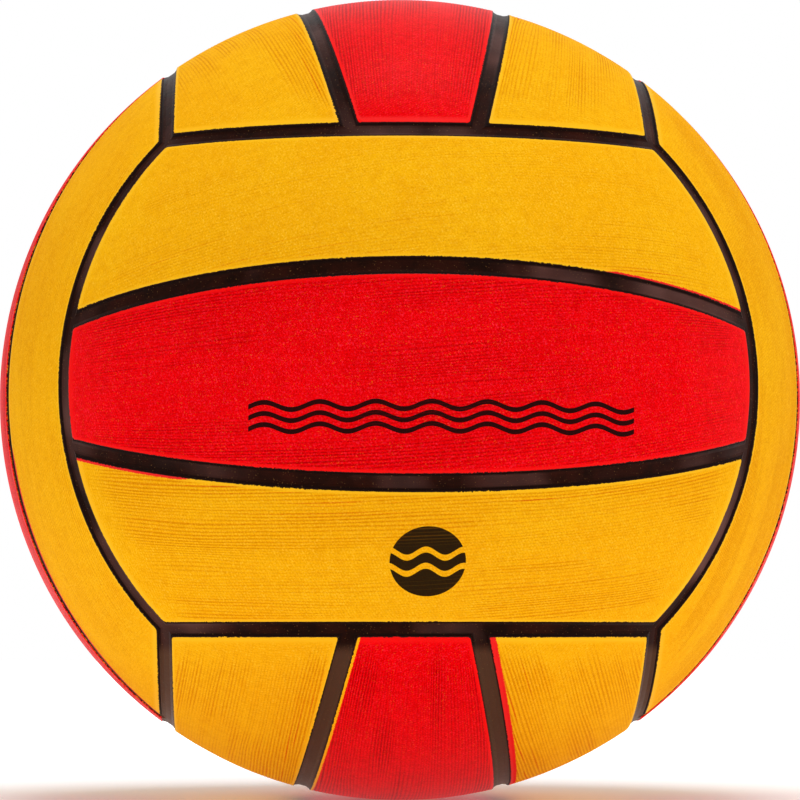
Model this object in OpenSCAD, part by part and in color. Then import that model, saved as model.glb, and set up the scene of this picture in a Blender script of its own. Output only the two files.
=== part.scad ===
// Water polo ball, men's size: a butyl bladder with its valve, a nylon winding, a rubber
// carcass with raised ribs under the seams, and eighteen cover panels seated between them.
//
// Millimetres, +Z up. The origin is the centre of the ball, -Y is the side that shows and
// the valve is at +Y. A ball has no rest of its own, so the pole at -Z is where it sits.

/* [Show] */
// Piece to draw

/* [Ball] */
// Across the cover, over the smooth panel margins
ball_diameter = 220; // [180:0.5:240]
// Between the side walls of a seam channel
channel_width = 4.2; // [2:0.1:8]
// How far an inner seam stands above the middle of its face, in degrees
inner_seam_angle = 14.3; // [8:0.1:20]

/* [Layers] */
panel_thickness = 1.4; // [1:0.05:3]
carcass_thickness = 0.45; // [0.3:0.05:2]
winding_thickness = 0.35; // [0.2:0.05:1]
bladder_thickness = 0.5; // [0.3:0.05:2]

/* [Seam channel] */
// Radius of the rolled lip along each panel's edge
lip_radius = 0.4; // [0.3:0.05:1]
// How steeply the lip's arc leaves the wall and meets the cover, in degrees
lip_break = 8; // [4:1:20]
// The flat top of a rib beside each panel wall
land_width = 0.2; // [0.1:0.05:0.5]
// From the cover down to the flat top of a rib
land_depth = 0.4; // [0.3:0.05:1.5]
// From the cover down to the floor of the channel
floor_depth = 0.75; // [0.6:0.05:2]
// How much lower the channel's arc would go without its floor
arc_below_floor = 0.1; // [0.05:0.01:0.3]
// How far a channel runs on past the middle of a crossing
channel_overrun = 1; // [0.2:0.1:2]

/* [Valve] */
neck_radius = 4; // [3.8:0.1:5.2]
// From the cover down to the top of the neck
neck_recess = 0.35; // [0:0.05:1]
// Radius of the neck's top edges, inside and out
neck_round = 0.3; // [0.1:0.05:0.4]
flange_radius = 15; // [10:0.5:20]
flange_thickness = 1.2; // [0.6:0.1:3]
flange_edge = 0.5; // [0.2:0.1:1]
// The cement between the flange and the bladder
cement_gap = 0.15; // [0.05:0.01:0.3]
barrel_radius = 5.5; // [4:0.1:8]
// From the cover down to the inner end of the barrel
barrel_depth = 18; // [12:0.5:24]
barrel_round = 1; // [0.5:0.1:2]
rim_round = 0.5; // [0.2:0.05:0.8]

/* [Valve core] */
core_radius = 2.6; // [2:0.1:3]
head_radius = 3.1; // [2.8:0.1:3.3]
head_thickness = 1.1; // [0.6:0.1:2]
// Radius of the head's top edge
head_round = 0.3; // [0.1:0.05:0.5]
// From the cover down to the top of the head
head_recess = 0.6; // [0.2:0.05:1.5]
bead_height = 0.5; // [0.2:0.05:1]
bead_length = 2.4; // [1:0.1:4]
// From the cover down to the middle of each bead
bead_depths = [6.5, 12.5];
// From the cover down to the inner end of the core
core_depth = 16.5; // [10:0.5:20]
// The pilot hole that takes an inflating needle
needle_hole_radius = 1.1; // [0.8:0.05:1.5]
needle_hole_length = 6; // [3:0.5:10]
funnel_radius = 1.8; // [1.2:0.1:2.5]
funnel_depth = 0.7; // [0.3:0.1:1.5]
air_hole_radius = 1.4; // [0.8:0.1:2]

/* [Hidden] */
$fn = 200;
ball_radius = ball_diameter / 2;
half_channel = channel_width / 2;
seat_radius = ball_radius - panel_thickness;
carcass_inside = seat_radius - carcass_thickness;
winding_inside = carcass_inside - winding_thickness;
bladder_inside = winding_inside - bladder_thickness;
land_radius = ball_radius - land_depth;
floor_radius = ball_radius - floor_depth;
// A size that reaches past everything else
reach_share = 1.25;
reach = ball_radius * reach_share;

// Twelve side seams lie on the circles where the planes at a third of the squared radius
// meet the ball, so they meet three by three at the eight corners of a cube.
side_seam_angle = acos(1 / sqrt(3));
half_channel_angle = half_channel / ball_radius * 180 / PI;
// Where an inner seam meets the end of its face
inner_seam_half_arc = acos(1 / sqrt(3) / cos(inner_seam_angle));

// The centre of a lip's arc is a little under a radius in from both the wall and the cover
lip_inset = lip_radius * cos(lip_break);

// The channel's concave arc, from land to land
groove_half_width = half_channel - land_width;
groove_sagitta = floor_depth + arc_below_floor - land_depth;
groove_radius = (pow(groove_half_width, 2) + pow(groove_sagitta, 2)) / (2 * groove_sagitta);
groove_centre = ball_radius - floor_depth - arc_below_floor + groove_radius;
overrun_angle = channel_overrun / ball_radius * 180 / PI;

FACES = ["front", "back", "top", "bottom", "left", "right"];

// Turns what is drawn for the front face, seen along +Y, onto another face. The strips of
// the front and back run across, those of the top and bottom to and fro, and those of the
// left and right up and down.
module on_face(face) {
    turned = face == "back" || face == "top" || face == "right" ? 180 : 0;
    cycle = face == "top" || face == "bottom" ? [90, 0, 90]
        : face == "left" || face == "right" ? [0, -90, -90]
        : [0, 0, 0];
    rotate(cycle)
        rotate([0, 0, turned])
            children();
}

// Stands the axis of a turned shape along -Y, out of the front face
module out_of_front() {
    rotate([90, 0, 0])
        children();
}

// Stands the axis of a turned shape along +Y, through the valve
module along_valve() {
    rotate([-90, 0, 0])
        children();
}

// A profile drawn with its own +Y along the radius at an angle from the axis
module at_angle(angle) {
    rotate(-angle)
        children();
}

// The corner that a rolled lip takes off a panel that lies at its own +X, where the wall
// meets the cover at the given radius
module lip_corner(radius) {
    difference() {
        translate([-half_channel, radius - lip_inset])
            square([half_channel + lip_inset, panel_thickness + lip_inset]);
        translate([lip_inset, radius - lip_inset])
            circle(r = lip_radius);
    }
}

// A shell, cut in half by the axis of its turning
module shell_profile(outside, inside) {
    difference() {
        circle(r = outside);
        circle(r = inside);
        translate([-2 * reach, -reach])
            square([2 * reach, 2 * reach]);
    }
}

module neck_hole() {
    along_valve()
        translate([0, 0, bladder_inside - flange_thickness])
            cylinder(r = neck_radius, h = reach - bladder_inside);
}

// A whole layer of the ball, with the hole that the valve's neck goes through
module layer(outside, inside) {
    difference() {
        sphere(r = outside);
        sphere(r = inside);
        neck_hole();
    }
}

// One face of the ball as a round cap of the cover, ending in a wall at the middle of its
// end seams less half a channel
module face_cap(outside, lips) {
    wall = side_seam_angle - half_channel_angle;
    out_of_front()
        rotate_extrude()
            difference() {
                intersection() {
                    shell_profile(outside, seat_radius);
                    polygon([[0, 0], [0, reach], [reach * tan(wall), reach]]);
                }
                if (lips)
                    at_angle(wall)
                        mirror([1, 0])
                            lip_corner(ball_radius);
            }
}

// Takes away what lies past a side seam at +Z
module past_side_seam(lips) {
    wall = side_seam_angle + half_channel_angle;
    rotate_extrude()
        union() {
            polygon([[0, 0], [0, reach], [reach * tan(wall), reach]]);
            if (lips)
                at_angle(wall)
                    lip_corner(ball_radius);
        }
}

// Takes away what lies past an inner seam whose great circle is the XY plane, at +Z
module past_inner_seam(lips) {
    lip_z = half_channel + lip_inset;
    lip_x = sqrt(pow(ball_radius - lip_inset, 2) - pow(lip_z, 2));
    rotate_extrude()
        union() {
            translate([0, -half_channel])
                square([reach, reach]);
            if (lips)
                difference() {
                    translate([lip_x, -lip_z])
                        square([reach - lip_x, lip_z]);
                    translate([lip_x, -lip_z])
                        circle(r = lip_radius);
                }
        }
}

// Tilts the XY plane onto the great circle of the front face's upper inner seam
module on_upper_seam() {
    rotate([-inner_seam_angle, 0, 0])
        children();
}

module middle_strip(outside, lips) {
    difference() {
        face_cap(outside, lips);
        on_upper_seam()
            past_inner_seam(lips);
        rotate([0, 180, 0])
            on_upper_seam()
                past_inner_seam(lips);
    }
}

module outer_strip(outside, lips) {
    difference() {
        face_cap(outside, lips);
        past_side_seam(lips);
        on_upper_seam()
            rotate([180, 0, 0])
                past_inner_seam(lips);
    }
}

// place is 1 for the strip at the front face's +Z, 0 for the middle and -1 for the strip
// at -Z, all turned with the face
module strip(face, place, outside, lips) {
    on_face(face)
        if (place == 0)
            middle_strip(outside, lips);
        else
            rotate([0, place > 0 ? 0 : 180, 0])
                outer_strip(outside, lips);
}

module yellow_panel(face, place) {
    color([0.92, 0.66, 0.04])
        strip(face, place, ball_radius, true);
}

module red_panel(face) {
    color([0.87, 0.03, 0.05])
        strip(face, 0, ball_radius, true);
}

module front_upper_panel() { yellow_panel("front", 1); }
module front_middle_panel() { red_panel("front"); }
module front_lower_panel() { yellow_panel("front", -1); }
module back_upper_panel() { yellow_panel("back", 1); }
module back_lower_panel() { yellow_panel("back", -1); }
module top_left_panel() { yellow_panel("top", -1); }
module top_middle_panel() { red_panel("top"); }
module top_right_panel() { yellow_panel("top", 1); }
module bottom_left_panel() { yellow_panel("bottom", -1); }
module bottom_middle_panel() { red_panel("bottom"); }
module bottom_right_panel() { yellow_panel("bottom", 1); }
module left_front_panel() { yellow_panel("left", -1); }
module left_middle_panel() { red_panel("left"); }
module left_back_panel() { yellow_panel("left", 1); }
module right_front_panel() { yellow_panel("right", -1); }
module right_middle_panel() { red_panel("right"); }
module right_back_panel() { yellow_panel("right", 1); }

// The panel that the valve comes out through, with a rolled rim round its hole
module back_middle_panel() {
    color([0.87, 0.03, 0.05])
        difference() {
            strip("back", 0, ball_radius, true);
            neck_hole();
            along_valve()
                rotate_extrude()
                    valve_rim_corner();
        }
}

module valve_rim_corner() {
    inset = rim_round * cos(lip_break);
    surface = sqrt(pow(ball_radius, 2) - pow(neck_radius, 2));
    difference() {
        translate([0, surface - inset])
            square([neck_radius + inset, panel_thickness]);
        translate([neck_radius + inset, surface - inset])
            circle(r = rim_round);
    }
}

// The round shape that hollows out a channel, swept about the front face's own axis
module channel_arc(angle_from_axis, half_arc) {
    rotate([0, 0, -half_arc - 90])
        rotate_extrude(angle = 2 * half_arc)
            at_angle(angle_from_axis)
                translate([0, groove_centre])
                    circle(r = groove_radius);
}

// The channels round the front face's upper edge and along its two inner seams. Each side
// seam belongs to two faces, and is cut for one of them.
module face_channels() {
    channel_arc(side_seam_angle, 45 + overrun_angle / sin(side_seam_angle));
    rotate([0, 180, 0])
        channel_arc(side_seam_angle, 45 + overrun_angle / sin(side_seam_angle));
    on_upper_seam()
        channel_arc(90, inner_seam_half_arc);
    rotate([0, 180, 0])
        on_upper_seam()
            channel_arc(90, inner_seam_half_arc);
}

module carcass() {
    color([0.09, 0.07, 0.07])
        difference() {
            union() {
                difference() {
                    sphere(r = land_radius);
                    for (face = FACES)
                        on_face(face)
                            face_channels();
                }
                sphere(r = floor_radius);
            }
            for (face = FACES, place = [-1, 0, 1])
                strip(face, place, ball_radius + panel_thickness, false);
            sphere(r = carcass_inside);
            neck_hole();
        }
}

module nylon_winding() {
    color([0.88, 0.87, 0.82])
        layer(carcass_inside, winding_inside);
}

module bladder() {
    color([0.16, 0.16, 0.17])
        layer(winding_inside, bladder_inside);
}

// What rounding takes off the top edge of a wall that stands at the given radius. side is 1
// where the wall lies inside that radius, and -1 where it lies outside.
module edge_round(radius, top, size, side) {
    inset = size * cos(lip_break);
    difference() {
        translate([radius - inset, top - inset])
            square(2 * inset);
        translate([radius - side * inset, top - inset])
            circle(r = size);
    }
}

module housing_outline() {
    top = ball_radius - neck_recess;
    flange_top = bladder_inside - cement_gap;
    flange_under = flange_top - flange_thickness;
    // The neck, from inside the flange up through the cover
    difference() {
        translate([0, flange_under])
            square([neck_radius, top - flange_under]);
        edge_round(neck_radius, top, neck_round, 1);
        edge_round(head_radius, top, neck_round, -1);
    }
    // The flange, dished to the bladder and thinner at its edge
    intersection() {
        shell_profile(flange_top, flange_under);
        polygon([
            [0, flange_under - flange_radius],
            [flange_radius, flange_top * cos(asin(flange_radius / flange_top)) - flange_edge],
            [flange_radius, reach],
            [0, reach]
        ]);
    }
    // The barrel that holds the core
    translate([0, ball_radius - barrel_depth + barrel_round])
        square([barrel_radius, barrel_depth - barrel_round - (ball_radius - flange_under) + flange_edge]);
    translate([0, ball_radius - barrel_depth])
        square([barrel_radius - barrel_round, barrel_round]);
    translate([barrel_radius - barrel_round, ball_radius - barrel_depth + barrel_round])
        circle(r = barrel_round);
}

module bead_outline(depth) {
    polygon([
        [0, ball_radius - depth - bead_length / 2],
        [core_radius, ball_radius - depth - bead_length / 2],
        [core_radius + bead_height, ball_radius - depth],
        [core_radius, ball_radius - depth + bead_length / 2],
        [0, ball_radius - depth + bead_length / 2]
    ]);
}

// The outside of the core, which is also the inside of the housing
module core_outline(top) {
    translate([0, ball_radius - core_depth])
        square([core_radius, core_depth - head_recess - head_thickness / 2]);
    translate([0, ball_radius - head_recess - head_thickness])
        square([head_radius, top - ball_radius + head_recess + head_thickness]);
    for (depth = bead_depths)
        bead_outline(depth);
}

module valve_housing() {
    color([0.12, 0.12, 0.13])
        along_valve()
            rotate_extrude()
                difference() {
                    housing_outline();
                    core_outline(ball_radius + neck_recess);
                    translate([0, ball_radius - 2 * barrel_depth])
                        square([air_hole_radius, 2 * barrel_depth]);
                }
}

module valve_core() {
    head_top = ball_radius - head_recess;
    color([0.2, 0.19, 0.19])
        along_valve()
            rotate_extrude()
                difference() {
                    core_outline(head_top);
                    edge_round(head_radius, head_top, head_round, 1);
                    translate([0, head_top - funnel_depth - needle_hole_length])
                        square([needle_hole_radius, 2 * needle_hole_length]);
                    polygon([
                        [0, head_top - funnel_depth],
                        [needle_hole_radius, head_top - funnel_depth],
                        [funnel_radius, head_top],
                        [funnel_radius, head_top + funnel_depth],
                        [0, head_top + funnel_depth]
                    ]);
                }
}

bladder();
valve_housing();
valve_core();
nylon_winding();
carcass();
front_upper_panel();
front_middle_panel();
front_lower_panel();
back_upper_panel();
back_middle_panel();
back_lower_panel();
top_left_panel();
top_middle_panel();
top_right_panel();
bottom_left_panel();
bottom_middle_panel();
bottom_right_panel();
left_front_panel();
left_middle_panel();
left_back_panel();
right_front_panel();
right_middle_panel();
right_back_panel();
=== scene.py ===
"""Water polo ball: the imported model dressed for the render.

The eighteen cover panels are remade with their moulded grip, rolled lips and painted edges. The
carcass, whose ribs show as black channels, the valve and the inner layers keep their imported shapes
and get their materials here. Metres, +Z up, the photographed face towards -Y, the valve at +Y.
"""

import math

import bmesh
import bpy
import numpy as np
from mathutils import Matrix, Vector


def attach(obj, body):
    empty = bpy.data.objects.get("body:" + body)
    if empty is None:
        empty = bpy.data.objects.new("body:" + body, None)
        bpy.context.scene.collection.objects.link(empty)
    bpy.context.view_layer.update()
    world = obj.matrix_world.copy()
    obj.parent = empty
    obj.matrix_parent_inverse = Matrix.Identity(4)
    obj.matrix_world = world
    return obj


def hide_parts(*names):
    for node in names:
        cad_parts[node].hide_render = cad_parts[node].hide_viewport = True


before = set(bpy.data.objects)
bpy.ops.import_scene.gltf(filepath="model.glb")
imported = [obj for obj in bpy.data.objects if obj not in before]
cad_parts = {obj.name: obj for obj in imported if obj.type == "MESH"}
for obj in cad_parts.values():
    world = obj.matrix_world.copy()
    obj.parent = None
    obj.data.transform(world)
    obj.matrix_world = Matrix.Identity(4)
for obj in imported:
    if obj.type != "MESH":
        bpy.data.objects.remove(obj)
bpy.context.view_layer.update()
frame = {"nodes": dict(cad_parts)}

MM = 0.001
BALL_RADIUS = 110.0 * MM
PANEL_THICKNESS = 1.4 * MM
HALF_CHANNEL = 2.1 * MM
LIP_RADIUS = 0.4 * MM
SIDE_SEAM_ANGLE = math.acos(1 / math.sqrt(3))
INNER_SEAM_ANGLE = math.radians(14.3)
END_WALL = SIDE_SEAM_ANGLE - HALF_CHANNEL / BALL_RADIUS
SIDE_WALL = SIDE_SEAM_ANGLE + HALF_CHANNEL / BALL_RADIUS
NECK_RADIUS = 4.0 * MM
RIM_ROUND = 0.5 * MM
CHANNEL_FLOOR = 109.25 * MM

RIDGE_PITCH = 0.9 * MM
RIDGE_HEIGHT = 0.09 * MM
CORNER_ROUND = 0.9 * MM
# Width over the cover of a strip at its middle, in mm
OUTER_WIDTH_MM = 41.0
MIDDLE_WIDTH_MM = 50.7
# Distances from a wall over which the grip rises out of the smooth margin
SIDE_MARGIN = (0.5 * MM, 1.5 * MM)
END_MARGIN = (1.0 * MM, 2.4 * MM)
VALVE_MARGIN = (5.0 * MM, 7.0 * MM)
# Over this distance from an end wall the ridges, faint there, come to their full depth
END_FADE = (3 * MM, 14 * MM)

# A panel's grid of points: rows per ridge, columns, and columns where the valve is
ROWS_PER_RIDGE = 4
COLUMNS = 128
VALVE_COLUMNS = 176
# How wide the columns lie at the middle of that panel, beside 1 on an even one
VALVE_CROWDING = 0.15
# Rows beside each wall: close together over the lip, then out to where the grip starts
EDGE_ROWS = np.array([0, 0.03, 0.1, 0.22, 0.4, 0.8, 1.4]) * MM


# Where a strip lies on the ball


def turn_to_face(points, face):
    """Points of the front face, carried to the same place on another face."""
    x, y, z = points.T
    if face in ("back", "top", "right"):
        x, y = -x, -y
    if face in ("top", "bottom"):
        x, y, z = z, x, y
    elif face in ("left", "right"):
        x, y, z = y, z, x
    return np.stack([x, y, z], axis=1)


def turn_from_face(points, face):
    """The way back from turn_to_face."""
    x, y, z = points.T
    if face in ("top", "bottom"):
        x, y, z = y, z, x
    elif face in ("left", "right"):
        x, y, z = z, x, y
    if face in ("back", "top", "right"):
        x, y = -x, -y
    return np.stack([x, y, z], axis=1)


def width_mm(outer):
    """Width of a strip at its middle, in mm."""
    return OUTER_WIDTH_MM if outer else MIDDLE_WIDTH_MM


def low_edge(along, outer):
    """Angle above the middle of the face of a strip's lower wall, at an angle along it."""
    half = np.arcsin(HALF_CHANNEL / (BALL_RADIUS * np.cos(along)))
    return half + INNER_SEAM_ANGLE if outer else half - INNER_SEAM_ANGLE


def high_edge(along, outer):
    """The same for its upper wall."""
    return np.arcsin(np.cos(SIDE_WALL) / np.cos(along)) if outer else -low_edge(along, outer)


def spaced(index, count, low, high, edge_scale):
    """Places of evenly spread rows between two walls, after the close rows beside each."""
    last = len(EDGE_ROWS) - 1
    near = np.minimum(index, count - index)
    offset = EDGE_ROWS[np.minimum(near, last).astype(int)] * edge_scale
    share = (index - last) / (count - 2 * last)
    inner_low = low + EDGE_ROWS[-1] * edge_scale
    inner_high = high - EDGE_ROWS[-1] * edge_scale
    inside = inner_low + (inner_high - inner_low) * share
    return np.where(
        index < last, low + offset, np.where(index > count - last, high - offset, inside)
    )


def row_height(along, row, rows, outer):
    """Angle above the middle of the face of a row of a strip's grid, at an angle along it."""
    edge_scale = 1 / (BALL_RADIUS * np.cos(along))
    return spaced(row, rows, low_edge(along, outer), high_edge(along, outer), edge_scale)


def row_reach(rows, outer):
    """Angle along a strip at which each row of its grid meets the end wall."""
    row = np.arange(rows + 1)
    short, long = np.full(rows + 1, 0.3), np.full(rows + 1, END_WALL + 0.01)
    for _ in range(40):
        middle = (short + long) / 2
        out = np.cos(middle) * np.cos(row_height(middle, row, rows, outer))
        inside = out > math.cos(END_WALL)
        short, long = np.where(inside, middle, short), np.where(inside, long, middle)
    return short


def strip_angles(column, columns, row, rows, outer, crowding):
    """Angles along and across a strip of its grid points. Crowding under 1 draws the columns
    together at the middle."""
    reach = row_reach(rows, outer)[row]
    along = spaced(column, columns, -reach, reach, 1 / BALL_RADIUS)
    share = along / reach
    along = reach * share * (crowding + (1 - crowding) * share**2)
    return along, row_height(along, row, rows, outer)


def wall_distances(along, across, outer):
    """Distances over the cover from a strip's low, high and end walls."""
    up = np.sin(across) * np.cos(along)
    out = np.cos(across) * np.cos(along)
    tilt = INNER_SEAM_ANGLE
    above_upper = BALL_RADIUS * np.arcsin(up * math.cos(tilt) - out * math.sin(tilt))
    above_lower = BALL_RADIUS * np.arcsin(up * math.cos(tilt) + out * math.sin(tilt))
    end = BALL_RADIUS * (END_WALL - np.arccos(np.clip(out, -1, 1)))
    if outer:
        return (
            above_upper - HALF_CHANNEL,
            BALL_RADIUS * (np.arccos(np.clip(up, -1, 1)) - SIDE_WALL),
            end,
        )
    return above_lower - HALF_CHANNEL, -above_upper - HALF_CHANNEL, end


# The moulded surface


def drift(x, y, seed, size=64):
    """Smooth random values from -1 to 1 over a plane, the same on every run."""
    table = np.random.default_rng(seed).uniform(-1, 1, (size, size))
    left, below = np.floor(x).astype(int), np.floor(y).astype(int)
    fx, fy = x - left, y - below
    fx, fy = fx * fx * (3 - 2 * fx), fy * fy * (3 - 2 * fy)

    def at(i, j):
        return table[(left + i) % size, (below + j) % size]

    low = at(0, 0) * (1 - fx) + at(1, 0) * fx
    high = at(0, 1) * (1 - fx) + at(1, 1) * fx
    return low * (1 - fy) + high * fy


def rise(value, start, end):
    """From 0 at start to 1 at end, smoothly."""
    share = np.clip((value - start) / (end - start), 0, 1)
    return share * share * (3 - 2 * share)


def rolled(distance, radius, deepest=1.2 * MM):
    """How far a rolled edge falls at a distance from its wall, and steeply past the wall."""
    inside = np.clip(radius - distance, 0, radius)
    past = np.clip(-distance, 0, None)
    return np.minimum(radius - np.sqrt(radius**2 - inside**2) + 1.5 * past, deepest)


def nearest_wall(low, high, end):
    """Distance from the nearest wall, rounded in plan at a panel's corners."""
    side = np.minimum(low, high)
    near, far = np.minimum(side, end), np.maximum(side, end)
    rounded = CORNER_ROUND - np.hypot(CORNER_ROUND - near, CORNER_ROUND - far)
    return np.where(far < CORNER_ROUND, rounded, near)


def moulding(along, across, outer, seed, lay, round_valve):
    """What the mould and the brush leave on a panel, as named values for each point, and the
    radius of the cover there. The ridges lie as the panel's lay says, wander a little, are plainer
    in some lines and patches than in others, and fade into smooth margins."""
    beside, fan, slant, strength, lapping, overspray, start, stop = lay
    low, high, end = wall_distances(along, across, outer)
    along_mm = along * BALL_RADIUS / MM
    evenly = low / (low + high) * width_mm(outer) * MM
    straight = BALL_RADIUS * np.arcsin(np.cos(along) * np.sin(across))
    across_mm = (low * beside + evenly * fan + straight * (1 - beside - fan)) / MM
    across_mm = across_mm - slant * along_mm
    # Wander of up to a millimetre: long waves, and some a third as long
    wander = 0.75 * drift(along_mm / 60, across_mm / 6, seed)
    wander = wander + 0.25 * drift(along_mm / 19, across_mm / 3, seed + 1)
    turns = (across_mm + wander) / (RIDGE_PITCH / MM)
    # How plain the ridges are: line by line, in patches, and more so beside the seam
    line = 0.5 + 0.5 * drift(along_mm / 45 + 3.7, np.floor(turns) * 0.73, seed + 2)
    patch = rise(drift(along_mm / 30, across_mm / 8, seed + 3), -0.35, 0.4)
    seam = low if outer else np.minimum(low, high)
    plain = 0.12 + 0.44 * np.exp(-seam / (6 * MM)) + (0.4 + 0.6 * patch) * (0.25 + 0.5 * line)
    side = np.minimum(low, high)
    margin = np.minimum(rise(side, *SIDE_MARGIN), rise(end, *END_MARGIN))
    plain = np.clip(plain * strength, 0, 1) * margin * (0.35 + 0.65 * rise(end, *END_FADE))
    wall = nearest_wall(low, high, end)
    drop = rolled(wall, LIP_RADIUS)
    if round_valve:
        off_axis = BALL_RADIUS * np.hypot(np.sin(along), np.cos(along) * np.sin(across))
        plain = plain * rise(off_axis, *VALVE_MARGIN)
        drop = np.maximum(drop, rolled(off_axis - NECK_RADIUS, RIM_ROUND))
    groove = (0.5 - 0.5 * np.cos(2 * np.pi * turns)) * plain
    # The neighbour's paint strays over the low wall only, and tails off over 8 mm at each end
    spray = overspray * rise(along_mm, start - 4, start + 4) * rise(along_mm, stop + 4, stop - 4)
    spray = np.where(low < high, spray, 0)
    return {
        "unlapped_mm": wall / MM - lapping,
        "seam_mm": seam / MM,
        "ridge_turns": turns,
        "ridge_strength": plain,
        "margin": margin,
        "cloth_print": np.full_like(wall, min(strength, 1)),
        "along_mm": along_mm,
        "across_mm": across_mm,
        "overspray_mm": spray,
    }, BALL_RADIUS - drop - RIDGE_HEIGHT * groove


def cover_grid(columns, rows):
    """A closed slab of grid, its cover at 1 and its underside at 0, one unit to a face."""
    bm = bmesh.new()
    bmesh.ops.create_grid(bm, x_segments=columns, y_segments=rows, size=0.5)
    bmesh.ops.translate(bm, vec=(0.5, 0.5, 0), verts=bm.verts)
    bmesh.ops.scale(bm, vec=(columns, rows, 1), verts=bm.verts)
    cover = bmesh.ops.extrude_face_region(bm, geom=bm.faces[:], use_keep_orig=True)
    raised = [v for v in cover["geom"] if isinstance(v, bmesh.types.BMVert)]
    bmesh.ops.translate(bm, vec=(0, 0, 1), verts=raised)
    bmesh.ops.recalc_face_normals(bm, faces=bm.faces)
    return bm


def thin_underside(bm, step=8):
    """The underside is glued down and smooth, so it keeps one row and column in eight."""
    spare = []
    for edge in bm.edges:
        a, b = (v.co for v in edge.verts)
        if a.z > 0.5 or b.z > 0.5 or any(f.calc_center_median().z > 0.25 for f in edge.link_faces):
            continue
        place = round(a.y) if abs(a.x - b.x) > 0.5 else round(a.x)
        if place % step:
            spare.append(edge)
    bmesh.ops.dissolve_edges(bm, edges=spare, use_verts=True)


def set_points(mesh, points):
    mesh.vertices.foreach_set("co", points.astype(np.float32).ravel())
    mesh.update()


def get_points(mesh):
    points = np.empty(3 * len(mesh.vertices), dtype=np.float32)
    mesh.vertices.foreach_get("co", points)
    return points.reshape(-1, 3).astype(float)


def bore_for_valve(piece):
    """Cuts the hole for the valve's neck through the finished panel."""
    bm = bmesh.new()
    bmesh.ops.create_cone(
        bm,
        cap_ends=True,
        segments=96,
        radius1=NECK_RADIUS,
        radius2=NECK_RADIUS,
        depth=20 * MM,
    )
    bmesh.ops.rotate(
        bm, cent=(0, 0, 0), matrix=Vector((0, 1, 0)).to_track_quat("Z", "Y").to_matrix(),
        verts=bm.verts,
    )
    bmesh.ops.translate(bm, vec=(0, BALL_RADIUS, 0), verts=bm.verts)
    mesh = bpy.data.meshes.new("neck_drill")
    bm.to_mesh(mesh)
    bm.free()
    drill = bpy.data.objects.new("neck_drill", mesh)
    bpy.context.scene.collection.objects.link(drill)
    cut = piece.modifiers.new("neck_hole", "BOOLEAN")
    cut.operation = "DIFFERENCE"
    cut.solver = "EXACT"
    cut.object = drill
    bpy.context.view_layer.update()
    bored = bpy.data.meshes.new_from_object(
        piece.evaluated_get(bpy.context.evaluated_depsgraph_get())
    )
    piece.modifiers.clear()
    piece.data = bored
    bpy.data.objects.remove(drill)


def cover_panel(name, face, place, seed, lay, with_valve=False):
    """One cover panel, in place on the ball, with what its material reads stored on its points."""
    outer = place != 0
    ridges = round(width_mm(outer) * MM / RIDGE_PITCH)
    rows = ridges * ROWS_PER_RIDGE + 2 * (len(EDGE_ROWS) - 1)
    columns = VALVE_COLUMNS if with_valve else COLUMNS
    bm = cover_grid(columns, rows)
    thin_underside(bm)
    mesh = bpy.data.meshes.new(name)
    bm.to_mesh(mesh)
    bm.free()

    grid = get_points(mesh)
    column = np.rint(grid[:, 0]).astype(int)
    row = np.rint(grid[:, 1]).astype(int)
    crowding = VALVE_CROWDING if with_valve else 1.0
    along, across = strip_angles(column, columns, row, rows, outer, crowding)
    _, radius = moulding(along, across, outer, seed, lay, with_valve)
    radius = np.where(grid[:, 2] > 0.5, radius, BALL_RADIUS - PANEL_THICKNESS)
    points = np.stack(
        [np.sin(along), -np.cos(along) * np.cos(across), np.cos(along) * np.sin(across)], axis=1
    )
    flip = (-1, 1, -1) if place < 0 else (1, 1, 1)
    set_points(mesh, turn_to_face(points * flip * radius[:, None], face))
    piece = bpy.data.objects.new(name, mesh)
    bpy.context.scene.collection.objects.link(piece)
    if with_valve:
        bore_for_valve(piece)
        mesh = piece.data

    points = turn_from_face(get_points(mesh), face) * flip
    points /= np.linalg.norm(points, axis=1)[:, None]
    along, across = np.arcsin(points[:, 0]), np.arctan2(points[:, 2], -points[:, 1])
    values, _ = moulding(along, across, outer, seed, lay, with_valve)
    for key, value in values.items():
        kept = mesh.attributes.new(key, "FLOAT", "POINT")
        kept.data.foreach_set("value", value.astype(np.float32))
    mesh.shade_smooth()
    mesh.set_sharp_from_angle(angle=math.radians(50))
    return piece


# Materials


SMOOTH = {"interpolation_type": "SMOOTHSTEP"}


def paint(hex_colour):
    """An sRGB hex colour as the linear colour that a shader wants."""
    parts = [int(hex_colour[i : i + 2], 16) / 255 for i in (0, 2, 4)]
    linear = [p / 12.92 if p <= 0.04045 else ((p + 0.055) / 1.055) ** 2.4 for p in parts]
    return (*linear, 1.0)


def add(tree, kind, inputs=(), output=0, **settings):
    """Adds a node with its settings, and gives back one of its outputs. Its inputs are listed in
    order, or by identifier, and each is a value or another node's output."""
    node = tree.nodes.new("ShaderNode" + kind)
    for key, value in settings.items():
        setattr(node, key, value)
    by_identifier = {socket.identifier: socket for socket in node.inputs}
    for key, value in inputs.items() if isinstance(inputs, dict) else enumerate(inputs):
        socket = by_identifier[key] if isinstance(key, str) else node.inputs[key]
        if isinstance(value, bpy.types.NodeSocket):
            tree.links.new(value, socket)
        else:
            socket.default_value = value
    if isinstance(output, int):
        return node.outputs[output]
    return next(socket for socket in node.outputs if socket.identifier == output)


def new_material(name):
    made = bpy.data.materials.new(name)
    made.use_nodes = True
    made.node_tree.nodes.clear()
    return made, made.node_tree


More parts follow.
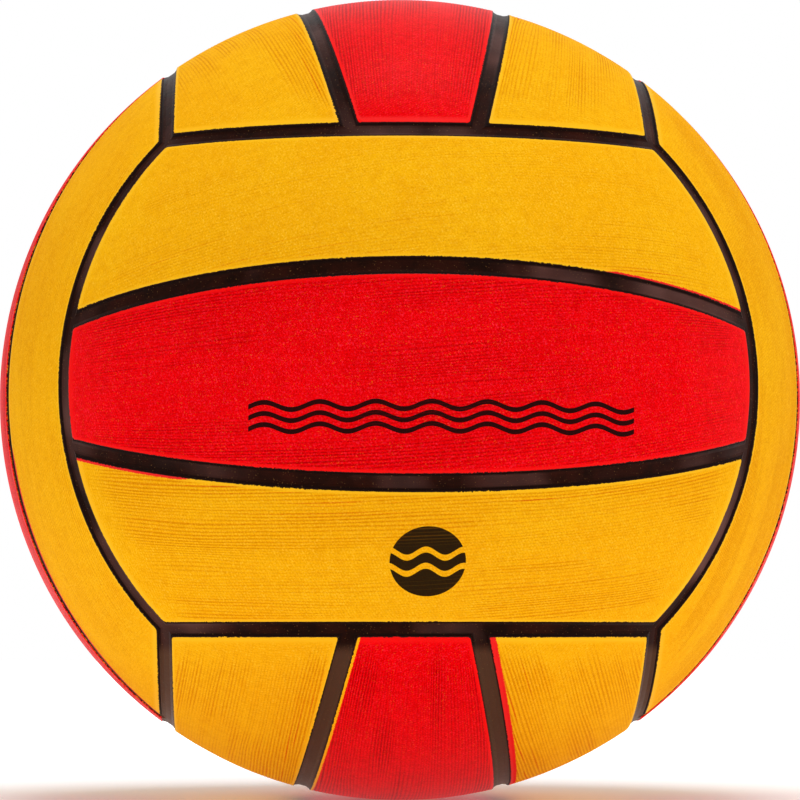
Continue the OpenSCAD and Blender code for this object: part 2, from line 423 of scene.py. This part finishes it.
def mottling(tree, size_mm, detail=2.0, roughness=0.5, shift=0.0):
    """Random patches of a real size, fixed to the ball."""
    place = add(tree, "TexCoord", output="Object")
    scaled = add(
        tree,
        "Mapping",
        {"Vector": place, "Location": (shift,) * 3, "Scale": (1 / (size_mm * MM),) * 3},
    )
    inputs = {"Vector": scaled, "Scale": 1.0, "Detail": detail, "Roughness": roughness}
    return add(tree, "TexNoise", inputs)


def streaks(tree, length_mm, width_mm, detail=1.0, shift=0.0):
    """Random patches that run along a panel's ridges."""
    along = add(tree, "Attribute", output="Fac", attribute_name="along_mm")
    across = add(tree, "Attribute", output="Fac", attribute_name="across_mm")
    along = add(tree, "Math", (along, length_mm), operation="DIVIDE")
    across = add(tree, "Math", (across, width_mm), operation="DIVIDE")
    place = add(tree, "CombineXYZ", (along, across, shift))
    return add(tree, "TexNoise", {"Vector": place, "Scale": 1.0, "Detail": detail})


def painted(tree, colour, coats):
    """Coats of paint over a colour, each with the share of it that covers."""
    for share, tone in coats:
        inputs = {"Factor_Float": share, "A_Color": colour, "B_Color": paint(tone)}
        colour = add(tree, "Mix", inputs, "Result_Color", data_type="RGBA")
    return colour


def surface(tree, inputs, height=None, height_mm=0.0):
    """Ends a material in its shader, with a fine relief of a real height."""
    if height is not None:
        relief = {"Strength": 1.0, "Distance": height_mm * MM, "Height": height}
        inputs = {**inputs, "Normal": add(tree, "Bump", relief)}
    shader = add(tree, "BsdfPrincipled", inputs)
    out = tree.nodes.new("ShaderNodeOutputMaterial")
    tree.links.new(shader, out.inputs["Surface"])


def grip_rubber(name, tones, flecks, gloss, mark=None):
    """Vulcanised natural rubber, moulded with a fine ribbed grip and spray painted: matt and even
    from afar, mottled close to, painted darker in its grooves, grain pits and dints as painted shade
    and lighter on the grain's crests as a painted highlight, flecked where the paint missed the
    grain, smoother and a little shiny along each rolled lip, with the lip painted lighter as a
    painted highlight, and with black channel paint over its edge.
    """
    made, tree = new_material(name)
    wall = add(tree, "Attribute", output="Fac", attribute_name="unlapped_mm")
    seam = add(tree, "Attribute", output="Fac", attribute_name="seam_mm")
    turns = add(tree, "Attribute", output="Fac", attribute_name="ridge_turns")
    strength = add(tree, "Attribute", output="Fac", attribute_name="ridge_strength")
    margin = add(tree, "Attribute", output="Fac", attribute_name="margin")
    along = add(tree, "Attribute", output="Fac", attribute_name="along_mm")
    cloth = add(tree, "Attribute", output="Fac", attribute_name="cloth_print")
    overspray = add(tree, "Attribute", output="Fac", attribute_name="overspray_mm")

    # The same grooves as in the mesh, 1 along the bottom of the plainest
    wave = add(tree, "Math", (turns, 2 * math.pi), operation="MULTIPLY")
    wave = add(tree, "Math", (wave,), operation="COSINE")
    wave = add(tree, "MapRange", (wave, 1.0, -1.0))
    groove = add(tree, "Math", (wave, strength), operation="MULTIPLY")
    # Uneven spray, in clouds about 30 mm across
    cloud = add(tree, "MapRange", (mottling(tree, 30), 0.35, 0.65), **SMOOTH)
    # Pebbled grain of the rubber: pits and crests about half a millimetre across. The crests are
    # painted lighter, a painted highlight, and the pits darker, painted shade
    grain = mottling(tree, 0.44, 3.0, 0.62)
    crest_highlight = add(tree, "MapRange", (grain, 0.5, 0.74, 0.0, 0.9), **SMOOTH)
    crest_highlight = add(tree, "Math", (crest_highlight, margin), operation="MULTIPLY")
    pit_shade_and_wear = add(tree, "MapRange", (grain, 0.5, 0.27, 0.0, 0.9), **SMOOTH)
    pit_shade_and_wear = add(tree, "Math", (pit_shade_and_wear, margin), operation="MULTIPLY")
    # Print of the cloth that lines the mould: dints along each ridge, half a step apart on the next,
    # painted darker in the pit tone as painted shade in the dints
    step = add(tree, "Math", (turns, 0.5), operation="MULTIPLY")
    step = add(tree, "Math", (along, 1 / 0.86, step), operation="MULTIPLY_ADD")
    step = add(tree, "Math", (mottling(tree, 2.5, shift=6.0), 1.6, step), operation="MULTIPLY_ADD")
    step = add(tree, "Math", (step, 2 * math.pi), operation="MULTIPLY")
    dint = add(tree, "Math", (step,), operation="SINE")
    dint = add(tree, "MapRange", (dint, -0.1, 1.0, 0.0, 0.38))
    dint = add(tree, "Math", (dint, margin), operation="MULTIPLY")
    dint = add(tree, "Math", (dint, cloth), operation="MULTIPLY")
    # Wear and uneven thickness of the paint, in blotches of 1 to 3 mm
    worn = add(tree, "MapRange", (mottling(tree, 2.6, 3.0, 0.6, 8.0), 0.46, 0.72, 0.0, 0.42))
    worn = add(tree, "Math", (worn, margin), operation="MULTIPLY")
    # Grooves painted darker in the groove tone, a painted shade in them, broken up by the grain
    broken = add(tree, "MapRange", (grain, 0.35, 0.6, 1.0, 0.5))
    depth = add(tree, "MapRange", (groove, 0.08, 0.8), **SMOOTH)
    depth = add(tree, "Math", (depth, broken), operation="MULTIPLY")
    # Single grooves in which another colour of paint ran for some centimetres
    stray = add(tree, "MapRange", (streaks(tree, 40, 0.9, shift=2.0), 0.58, 0.70), **SMOOTH)
    near = add(tree, "MapRange", (seam, 2.0, 12.0, 1.0, 0.15), **SMOOTH)
    stray = add(tree, "Math", (stray, near), operation="MULTIPLY")
    stray = add(tree, "Math", (stray, depth), operation="MULTIPLY")
    # Flecks of the colour under the paint, a third of a millimetre across
    fleck = add(tree, "MapRange", (mottling(tree, 0.34, 0.0, shift=3.0), 0.68, 0.77), **SMOOTH)
    patch = streaks(tree, 12, 1.3, 2.0, 7.0)
    patch = add(tree, "MapRange", (patch, 0.4, 0.64, 0.12, 1.0), **SMOOTH)
    fleck = add(tree, "Math", (fleck, patch), operation="MULTIPLY")
    fleck = add(tree, "Math", (fleck, margin), operation="MULTIPLY")
    fleck = add(tree, "Math", (fleck, flecks), operation="MULTIPLY")
    coats = [
        (cloud, tones["cloud"]),
        (crest_highlight, tones["crest_highlight"]),
        (pit_shade_and_wear, tones["pit_shade_and_wear"]),
        (dint, tones["pit_shade_and_wear"]),
        (worn, tones["pit_shade_and_wear"]),
        (depth, tones["groove"]),
        (stray, tones["stray"]),
        (fleck, tones["fleck"]),
    ]
    if mark:
        coats.append((mark(tree, grain, groove), "130C0B"))

    # Smooth margins painted lighter in the margin tone: a painted highlight along each rolled lip
    bare = add(tree, "MapRange", (margin, 0.8, 0.0, 0.0, 0.6), **SMOOTH)
    # The neighbour's colour strays over the lip in places, half a millimetre wide or more
    frayed = add(tree, "Math", (grain, 0.9, seam), operation="MULTIPLY_ADD")
    frayed = add(tree, "Math", (frayed, overspray), operation="SUBTRACT")
    over = add(tree, "MapRange", (frayed, 0.5, 0.35, 0.0, 0.98))
    # Black channel paint laps over the lip, with a ragged edge
    where = add(tree, "MapRange", (mottling(tree, 18, 1.0, shift=9.0), 0.42, 0.62, 0.25, 1.15))
    ragged = mottling(tree, 0.7, 3.0, 0.65, 5.0)
    ragged = add(tree, "Math", (ragged, 0.5), operation="SUBTRACT")
    edge = add(tree, "Math", (ragged, where, wall), operation="MULTIPLY_ADD")
    lapped = add(tree, "MapRange", (edge, 0.06, -0.06), **SMOOTH)
    coats += [(bare, tones["margin"]), (over, tones["overspray"]), (lapped, "22110D")]

    # The smooth margins keep a thin shine, and the paint a faint gloss where it is seen aslant
    shine = add(tree, "MapRange", (margin, 0.9, 0.1, 0.0, 0.07), **SMOOTH)
    facing = add(tree, "LayerWeight", output="Facing")
    aslant = add(tree, "MapRange", (facing, 0.3, 0.9, 0.0, gloss))
    shine = add(tree, "Math", (shine, aslant), operation="MAXIMUM")
    height = add(tree, "Math", (grain, margin), operation="MULTIPLY")
    surface(
        tree,
        {
            "Base Color": painted(tree, paint(tones["base"]), coats),
            "Roughness": add(tree, "MapRange", (margin, 0.0, 1.0, 0.5, 0.78)),
            "Specular IOR Level": 0.01,
            "Coat Weight": shine,
            "Coat Roughness": 0.3,
        },
        height,
        0.07,
    )
    return made


def wave_band(tree, grain, groove):
    """A plain band of three waves in black ink on the front middle panel, 97 mm long and 8.5 mm
    high."""
    wave, rise_of_wave = 13.9 * MM, 0.95 * MM
    middle, half_length = 6.6 * MM, 48.5 * MM
    place = add(tree, "TexCoord", output="Object")
    x, y, z = add(tree, "SeparateXYZ", (place,)).node.outputs
    turns = add(tree, "Math", (x, 2 * math.pi / wave), operation="MULTIPLY")
    swing = add(tree, "Math", (turns,), operation="SINE")
    level = add(tree, "Math", (swing, -rise_of_wave, z), operation="MULTIPLY_ADD")
    band = 0.0
    for height_mm in (-8.0, -10.75, -13.5):
        away = add(tree, "Math", (level, height_mm * MM), operation="SUBTRACT")
        away = add(tree, "Math", (away,), operation="ABSOLUTE")
        stripe = add(tree, "MapRange", (away, 0.72 * MM, 0.55 * MM))
        band = add(tree, "Math", (stripe, band), operation="MAXIMUM")
    beside = add(tree, "Math", (x, middle), operation="SUBTRACT")
    beside = add(tree, "Math", (beside,), operation="ABSOLUTE")
    inside = add(tree, "MapRange", (beside, half_length + 0.3 * MM, half_length))
    band = add(tree, "Math", (band, inside), operation="MULTIPLY")
    return inked(tree, band, y, grain, groove)


def wave_roundel(tree, grain, groove):
    """A plain black roundel crossed by two waves on the front lower panel, 19 mm across."""
    wave, rise_of_wave, radius = 9.6 * MM, 1.0 * MM, 9.5 * MM
    place = add(tree, "TexCoord", output="Object")
    x, y, z = add(tree, "SeparateXYZ", (place,)).node.outputs
    centre = Vector((2.9, -99.55, -46.7)).normalized() * BALL_RADIUS
    away = add(
        tree, "VectorMath", {"Vector": place, "Vector_001": tuple(centre)}, "Value",
        operation="DISTANCE",
    )
    disc = add(tree, "MapRange", (away, radius + 0.2 * MM, radius))
    turns = add(tree, "Math", (x, 2 * math.pi / wave), operation="MULTIPLY")
    swing = add(tree, "Math", (turns,), operation="SINE")
    level = add(tree, "Math", (swing, -rise_of_wave, z), operation="MULTIPLY_ADD")
    for height_mm in (-44.6, -48.6):
        bare = add(tree, "Math", (level, height_mm * MM), operation="SUBTRACT")
        bare = add(tree, "Math", (bare,), operation="ABSOLUTE")
        bare = add(tree, "MapRange", (bare, 0.65 * MM, 0.8 * MM))
        disc = add(tree, "Math", (disc, bare), operation="MULTIPLY")
    return inked(tree, disc, y, grain, groove)


def inked(tree, mask, y, grain, groove):
    """Ink that takes on the crests, is frayed by the grain and thins out in the grooves. It is
    only on the front of the ball, where y is negative."""
    facing = add(tree, "Math", (y, 0.0), operation="LESS_THAN")
    frayed = add(tree, "Math", (grain, 0.8, mask), operation="MULTIPLY_ADD")
    frayed = add(tree, "MapRange", (frayed, 0.86, 1.04))
    held = add(tree, "MapRange", (groove, 0.35, 0.9, 0.98, 0.84))
    held = add(tree, "Math", (held, facing), operation="MULTIPLY")
    return add(tree, "Math", (frayed, held), operation="MULTIPLY")


def channel_rubber():
    """Black rubber channel, thinly brushed with brown-black paint: painted black beside the
    walls as painted shade, browner along the middle, cloudy in places, with lighter brown
    stretches of painted glare, and a lighter brown towards the ball's underside as painted
    light from below. Half matt."""
    made, tree = new_material("brushed_channel_rubber")
    place = add(tree, "TexCoord", output="Object")
    depth = add(tree, "VectorMath", (place,), "Value", operation="LENGTH")
    # Painted shade: black where the channel rises towards the panel walls
    banked = (depth, CHANNEL_FLOOR + 0.1 * MM, CHANNEL_FLOOR + 0.3 * MM)
    wall_shade = add(tree, "MapRange", banked, **SMOOTH)
    cloud = add(tree, "MapRange", (mottling(tree, 9, 4.0, 0.6), 0.36, 0.7, 0.0, 0.8))
    # Painted highlight: lighter brown stretches along the channel, standing in for glare on its
    # paint
    glare_spread = add(tree, "MapRange", (mottling(tree, 40, 2.0, 0.5, 21.0), 0.38, 0.58), **SMOOTH)
    glare_patches = add(tree, "MapRange", (mottling(tree, 45, 3.0, 0.55, 13.0), 0.5, 0.68, 0.0, 0.7))
    glare_streak = add(tree, "Math", (glare_patches, glare_spread), operation="MULTIPLY")
    speck = add(tree, "MapRange", (mottling(tree, 0.35, 0.0, shift=4.0), 0.77, 0.8, 0.0, 0.6))
    # Painted light: a lighter brown towards the ball's underside, standing in for light from below
    level = add(tree, "SeparateXYZ", (place,), 2)
    underside_light = add(tree, "MapRange", (level, -66.5 * MM, -70 * MM, 0.0, 0.85), **SMOOTH)
    coats = (
        (cloud, "35140C"),
        (glare_streak, "704A44"),
        (wall_shade, "190B08"),
        (underside_light, "543828"),
        (speck, "74502E"),
    )
    brush = mottling(tree, 0.8, 3.0, 0.6)
    facing = add(tree, "LayerWeight", output="Facing")
    inputs = {
        "Base Color": painted(tree, paint("180A06"), coats),
        "Roughness": add(tree, "MapRange", (brush, 0.3, 0.7, 0.38, 0.54)),
        "Specular IOR Level": 0.015,
        "Coat Weight": add(tree, "MapRange", (facing, 0.4, 0.9, 0.0, 0.22)),
        "Coat Roughness": 0.4,
    }
    surface(tree, inputs, brush, 0.06)
    return made


def moulded_rubber(name, low, high, roughness, grain_mm):
    """Moulded black rubber: smooth, faintly mottled, half matt."""
    made, tree = new_material(name)
    cloud = add(tree, "MapRange", (mottling(tree, 4, 3.0, 0.6), 0.35, 0.65))
    fine = mottling(tree, grain_mm)
    inputs = {
        "Base Color": painted(tree, paint(low), [(cloud, high)]),
        "Roughness": add(tree, "MapRange", (fine, 0.3, 0.7, roughness - 0.06, roughness + 0.06)),
        "IOR": 1.52,
    }
    surface(tree, inputs, fine, 0.03)
    return made


def wound_nylon():
    """Nylon thread wound every way over the bladder: off-white strands 0.4 mm thick, and the
    darker gaps between them."""
    made, tree = new_material("wound_nylon_thread")
    gaps = []
    height = 0.0
    for turn in ((0.3, 0.2, 0.0), (1.2, 0.9, 0.4), (2.1, -0.6, 1.1)):
        place = add(tree, "TexCoord", output="Object")
        inputs = {"Vector": place, "Rotation": turn, "Scale": (1 / (0.4 * MM),) * 3}
        laid = add(tree, "Mapping", inputs)
        # A wave of scale 0.31 repeats once in each unit of its coordinates
        inputs = {"Vector": laid, "Scale": 0.31, "Distortion": 0.6, "Detail": 1.0}
        strand = add(tree, "TexWave", inputs, "Fac", wave_type="BANDS", bands_direction="X")
        gaps.append((add(tree, "MapRange", (strand, 0.3, 0.0, 0.0, 0.5)), "8F8C82"))
        height = add(tree, "Math", (height, strand), operation="MAXIMUM")
    colour = painted(tree, paint("D9D6CC"), gaps)
    surface(tree, {"Base Color": colour, "Roughness": 0.5, "IOR": 1.53}, height, 0.12)
    return made


# The studio


WORLD_LIGHT = 0.5
# Name, place in metres, width across in metres, watts
LAMPS = (
    ("key_above", (0.2, -0.9, 1.5), 0.9, 4.4),
    ("overhead", (0.05, -0.1, 1.6), 0.9, 10.9),
    ("fill_right", (1.6, -0.5, 0.1), 0.9, 6.3),
    ("fill_left", (-1.6, -0.6, 0.0), 0.9, 6.2),
    ("light_table", (0.0, 0.0, -0.1099), 0.9, 0.58),
)


def seen_directly(tree):
    """1 for rays from the camera, and for those that carry a reflection or come through."""
    ray = add(tree, "LightPath").node.outputs
    seen = add(tree, "Math", (ray["Is Camera Ray"], ray["Is Glossy Ray"]), operation="MAXIMUM")
    return add(tree, "Math", (seen, ray["Is Transmission Ray"]), operation="MAXIMUM")


def studio():
    """A white floor and backdrop, with soft lamps in front, overhead and at both sides, and a
    light table under the ball. The camera doesn't see the lamps."""
    scene = bpy.context.scene
    scene.view_settings.view_transform = "Standard"
    world = bpy.data.worlds.new("white_studio")
    scene.world = world
    world.use_nodes = True
    tree = world.node_tree
    tree.nodes.clear()
    strength = add(tree, "MapRange", (seen_directly(tree), 0.0, 1.0, WORLD_LIGHT, 1.0))
    background = add(tree, "Background", {"Color": (1, 1, 1, 1), "Strength": strength})
    out = tree.nodes.new("ShaderNodeOutputWorld")
    tree.links.new(background, out.inputs["Surface"])

    bm = bmesh.new()
    bmesh.ops.create_grid(bm, x_segments=1, y_segments=1, size=6)
    bmesh.ops.translate(bm, vec=(0, 0, -BALL_RADIUS), verts=bm.verts)
    mesh = bpy.data.meshes.new("floor")
    bm.to_mesh(mesh)
    bm.free()
    floor = bpy.data.objects.new("floor", mesh)
    scene.collection.objects.link(floor)
    made, tree = new_material("white_floor")
    # White where it is seen, all the more so away from the ball, whose shadow stays
    place = add(tree, "TexCoord", output="Object")
    away = add(tree, "VectorMath", (place,), "Value", operation="LENGTH")
    glow = add(tree, "MapRange", (away, 0.12, 0.5, 0.1, 1.0), **SMOOTH)
    glow = add(tree, "Math", (glow, seen_directly(tree)), operation="MULTIPLY")
    lit = add(tree, "BsdfDiffuse", {"Color": (0.94, 0.94, 0.94, 1)})
    own = add(tree, "Emission", {"Color": (1, 1, 1, 1), "Strength": glow})
    both = add(tree, "AddShader", (lit, own))
    out = tree.nodes.new("ShaderNodeOutputMaterial")
    tree.links.new(both, out.inputs["Surface"])
    mesh.materials.append(made)

    for name, place, size, power in LAMPS:
        data = bpy.data.lights.new(name, "AREA")
        data.shape = "DISK"
        data.size = size
        data.energy = power
        lamp = bpy.data.objects.new(name, data)
        lamp.location = place
        lamp.visible_camera = False
        lamp.rotation_euler = (-Vector(place)).to_track_quat("-Z", "Y").to_euler()
        scene.collection.objects.link(lamp)


# The camera's distance in radii of the ball, and the outline's radius and picture's width in pixels
CAMERA_RADII = 9.626
OUTLINE_PIXELS = 400.2
PICTURE_PIXELS = 800


def photograph_camera():
    """The camera where the photograph was taken from: 1.06 m away, a little left of and below the
    middle of the ball, and level."""
    distance = CAMERA_RADII * BALL_RADIUS
    azimuth, elevation = math.radians(-2.34), math.radians(-3.54)
    data = bpy.data.cameras.new("photograph")
    data.sensor_width = 36
    # As long as makes the ball's outline as wide as in the photograph
    data.lens = 36 * OUTLINE_PIXELS * math.sqrt(CAMERA_RADII**2 - 1) / PICTURE_PIXELS
    data.clip_start = 0.01
    camera = bpy.data.objects.new("photograph", data)
    out = Vector(
        (
            math.sin(azimuth) * math.cos(elevation),
            -math.cos(azimuth) * math.cos(elevation),
            math.sin(elevation),
        )
    )
    camera.location = out * distance
    camera.rotation_euler = (-out).to_track_quat("-Z", "Y").to_euler()
    bpy.context.scene.collection.objects.link(camera)
    bpy.context.scene.camera = camera


STRIPS = {
    "front": ("lower", "middle", "upper"),
    "back": ("lower", "middle", "upper"),
    "top": ("left", "middle", "right"),
    "bottom": ("left", "middle", "right"),
    "left": ("front", "middle", "back"),
    "right": ("front", "middle", "back"),
}
# How each panel's ridges lie: the shares in which they run beside the inner seam and fan out from
# it to the other edge, the rest being straight, then their slant and how plainly they show. Then
# how far the black paint laps over the lip, the reach of the neighbour's overspray, and where that
# starts and stops, all in mm.
# Beside, fan, slant, strength, lapping, overspray, start, stop
USUAL_LAY = (0.7, 0.3, 0.04, 1.0, 0.36, 0.7, -30, 25)
LAYS = {
    "front_upper_panel": (1.0, 0.0, 0.12, 0.5, 0.3, 0.85, 50, 110),
    "front_middle_panel": (0.3, 0.5, 0.08, 0.7, 0.3, 0.0, 0, 0),
    "front_lower_panel": (0.6, 0.2, 0.05, 1.0, 0.33, 1.0, 60, 110),
    "top_left_panel": (1.0, 0.0, 0.08, 0.85, 0.32, 0.0, 0, 0),
    "top_middle_panel": (0.0, 0.5, -0.05, 1.0, 0.3, 0.0, 0, 0),
    "top_right_panel": (0.0, 1.0, -0.03, 1.0, 0.32, 0.0, 0, 0),
    "bottom_left_panel": (1.0, 0.0, 0.02, 1.25, 0.32, 0.0, 0, 0),
    "bottom_middle_panel": (0.0, 0.6, 0.0, 1.0, 0.3, 0.95, -110, 0),
    "bottom_right_panel": (1.0, 0.0, 0.09, 1.4, 0.32, 1.9, -110, 110),
    "left_front_panel": (1.0, 0.0, 0.0, 0.7, 0.42, 1.3, 15, 110),
    "left_middle_panel": (0.0, 0.3, 0.04, 1.0, 0.02, 0.0, 0, 0),
    "right_middle_panel": (0.0, 0.3, 0.04, 1.0, 0.02, 0.0, 0, 0),
    "back_middle_panel": (0.0, 0.3, 0.04, 1.0, 0.3, 0.0, 0, 0),
    "right_front_panel": (1.0, 0.0, 0.03, 1.3, 0.42, 0.0, 0, 0),
}
# In both tables the crest tone is a painted highlight on the grain, and the pit tone is painted
# shade in the grain's pits and the cloth print's dints as well as the colour of worn paint. The
# groove tone is painted shade in the grooves, and the margin tone a painted highlight along the
# lips.
YELLOW = {
    "base": "F8B109",
    "cloud": "FAB80C",
    "crest_highlight": "FFC93A",
    "pit_shade_and_wear": "E89A06",
    "groove": "D98202",
    "fleck": "C47E0A",
    "stray": "DC480C",
    "overspray": "EC1420",
    "margin": "FCBE1E",
}
RED = {
    "base": "F20105",
    "cloud": "F80308",
    "crest_highlight": "FF2A42",
    "pit_shade_and_wear": "C90004",
    "groove": "A80003",
    "fleck": "F26A1A",
    "stray": "A00004",
    "overspray": "FDB60A",
    "margin": "F5120F",
}


def dress(frame):
    """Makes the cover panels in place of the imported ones, and gives the other solids their
    materials."""
    yellow = {"tones": YELLOW, "flecks": 0.35, "gloss": 0.02}
    red = {"tones": RED, "flecks": 0.42, "gloss": 0.25}
    finishes = {
        "yellow": grip_rubber("yellow_grip_rubber", **yellow),
        "red": grip_rubber("red_grip_rubber", **red),
        "front_middle_panel": grip_rubber("red_printed_rubber", **red, mark=wave_band),
        "front_lower_panel": grip_rubber("yellow_printed_rubber", **yellow, mark=wave_roundel),
    }
    number = 0
    for face, words in STRIPS.items():
        for place, word in zip((-1, 0, 1), words):
            node = f"{face}_{word}_panel"
            # Far enough apart that no two panels share a table of random values
            seed = 40 * number + 7
            number += 1
            lay = LAYS.get(node, USUAL_LAY)
            with_valve = node == "back_middle_panel"
            piece = cover_panel(f"{face}_{word}_cover", face, place, seed, lay, with_valve)
            finish = finishes.get(node) or finishes["yellow" if place else "red"]
            piece.data.materials.clear()
            piece.data.materials.append(finish)
            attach(piece, "root")
            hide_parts(node)

    inner = {
        "carcass": channel_rubber(),
        "nylon_winding": wound_nylon(),
        "bladder": moulded_rubber("blown_butyl", "24242A", "303036", 0.45, 0.5),
        "valve_housing": moulded_rubber("valve_housing_rubber", "17171A", "232326", 0.5, 0.3),
        "valve_core": moulded_rubber("valve_core_rubber", "2B2929", "393636", 0.42, 0.25),
    }
    for node, finish in inner.items():
        data = frame["nodes"][node].data
        data.materials.clear()
        data.materials.append(finish)


photograph_camera()
studio()
dress(frame)
